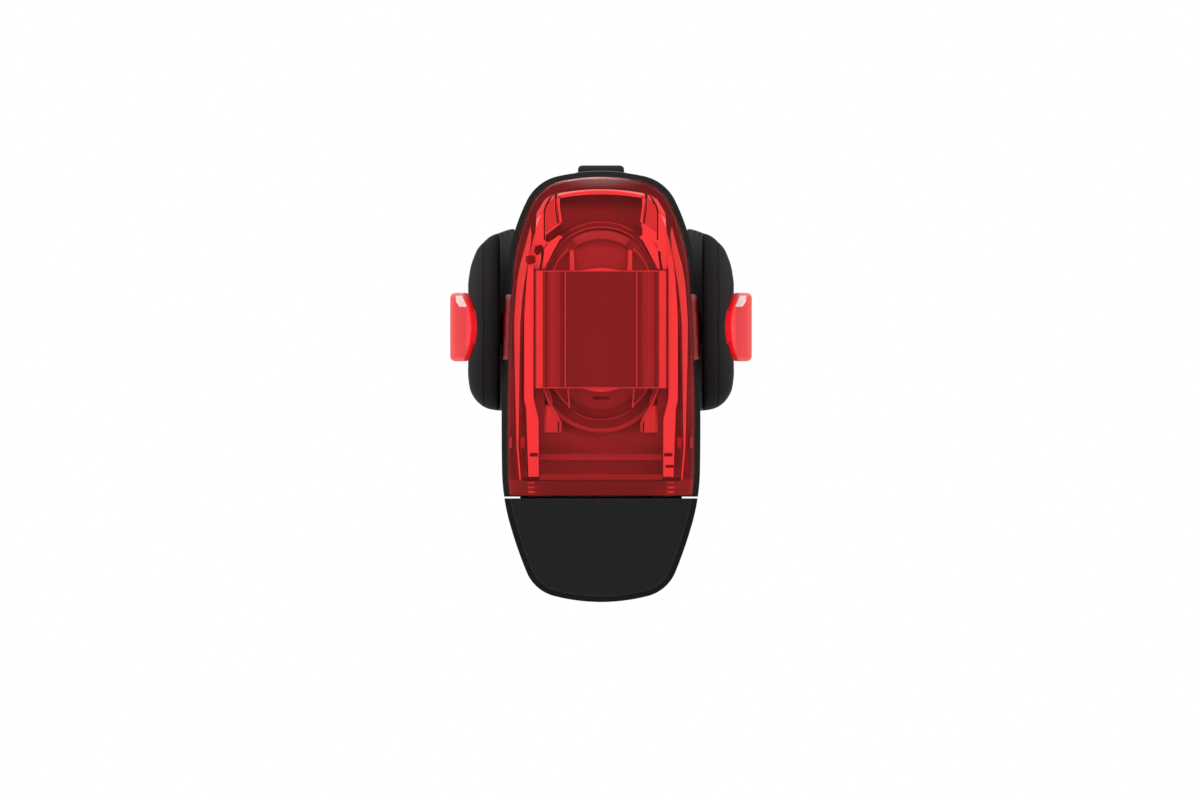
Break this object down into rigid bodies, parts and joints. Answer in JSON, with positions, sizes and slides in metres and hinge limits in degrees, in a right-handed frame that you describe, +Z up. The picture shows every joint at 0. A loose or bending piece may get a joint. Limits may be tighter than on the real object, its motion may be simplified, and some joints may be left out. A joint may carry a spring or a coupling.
{
  "type": "bicycle tail light",
  "caption": "Rechargeable rear bicycle light with a red lens, side hooks for a rubber seat-post strap, a top button and a pull-off lower cap over its charging plug.",
  "frame": {"origin": "on the seat post's axis, level with the two side hooks", "axes": "+Z up along the seat post, -Y the way the light shines, +X to the viewer's right when the lens is seen from the front"},
  "size_m": [0.0484, 0.0577, 0.0699],
  "materials": {
    "black_abs": "moulded, satin",
    "red_polycarbonate": "clear red, polished mould",
    "black_silicone": "moulded, matte, with a mould line",
    "black_nylon": "moulded",
    "white_abs": "moulded, glossy white",
    "glass_fibre_board": "solder mask over glass fibre",
    "zinc_steel": "zinc or nickel plated",
    "cell_foil": "laminated pouch foil",
    "grey_foam": "closed-cell foam",
    "board_aluminium": "white-masked metal-core board",
    "led_silicone": "moulded lens over the chip",
    "grey_abs": "moulded, satin",
    "clear_acrylic": "clear, polished mould",
    "plug_steel": "nickel-plated, folded",
    "gilt_brass": "gilt",
    "red_silicone": "moulded",
    "soft_black_plastic": "moulded, fine matte"
  },
  "bodies": {
    "housing": {"back_shell": "black_abs", "lens_shell": "red_polycarbonate", "lens_gasket": "black_silicone", "hook_left": "red_polycarbonate", "hook_right": "red_polycarbonate", "saddle_pad": "black_silicone", "switch_body": "black_nylon", "main_board": "glass_fibre_board", "board_screws": "zinc_steel", "board_chips": "black_nylon", "board_link": "black_nylon", "battery_cell": "cell_foil", "battery_foam": "grey_foam", "battery_tabs": "zinc_steel", "led_board": "board_aluminium", "leds": "led_silicone", "optic_carrier": "grey_abs", "collimator": "clear_acrylic", "prism_block": "clear_acrylic", "side_reflector_left": "white_abs", "side_reflector_right": "white_abs", "light_guide_left": "white_abs", "light_guide_right": "white_abs", "usb_shell": "plug_steel", "usb_tongue": "black_nylon", "usb_contacts": "gilt_brass", "neck_seal": "red_silicone"},
    "button": {"power_button": "black_silicone", "switch_stem": "white_abs"},
    "strap": {"strap": "black_silicone"},
    "end_cap": {"end_cap": "soft_black_plastic"}
  },
  "joints": [
    {"name": "button_press", "type": "slide", "parent": "housing", "child": "button", "axis": [0, 0, -1], "range_m": [0, 0.0004], "stiffness_N_per_m": 2500},
    {"name": "cap_pull", "type": "slide", "parent": "housing", "child": "end_cap", "axis": [0, 0, -1], "range_m": [0, 0.018]},
    {"name": "strap_swing", "type": "hinge", "parent": "housing", "child": "strap", "pos_m": [0, -0.0276, 0], "axis": [1, 0, 0], "range_deg": [-20, 20]}
  ]
}
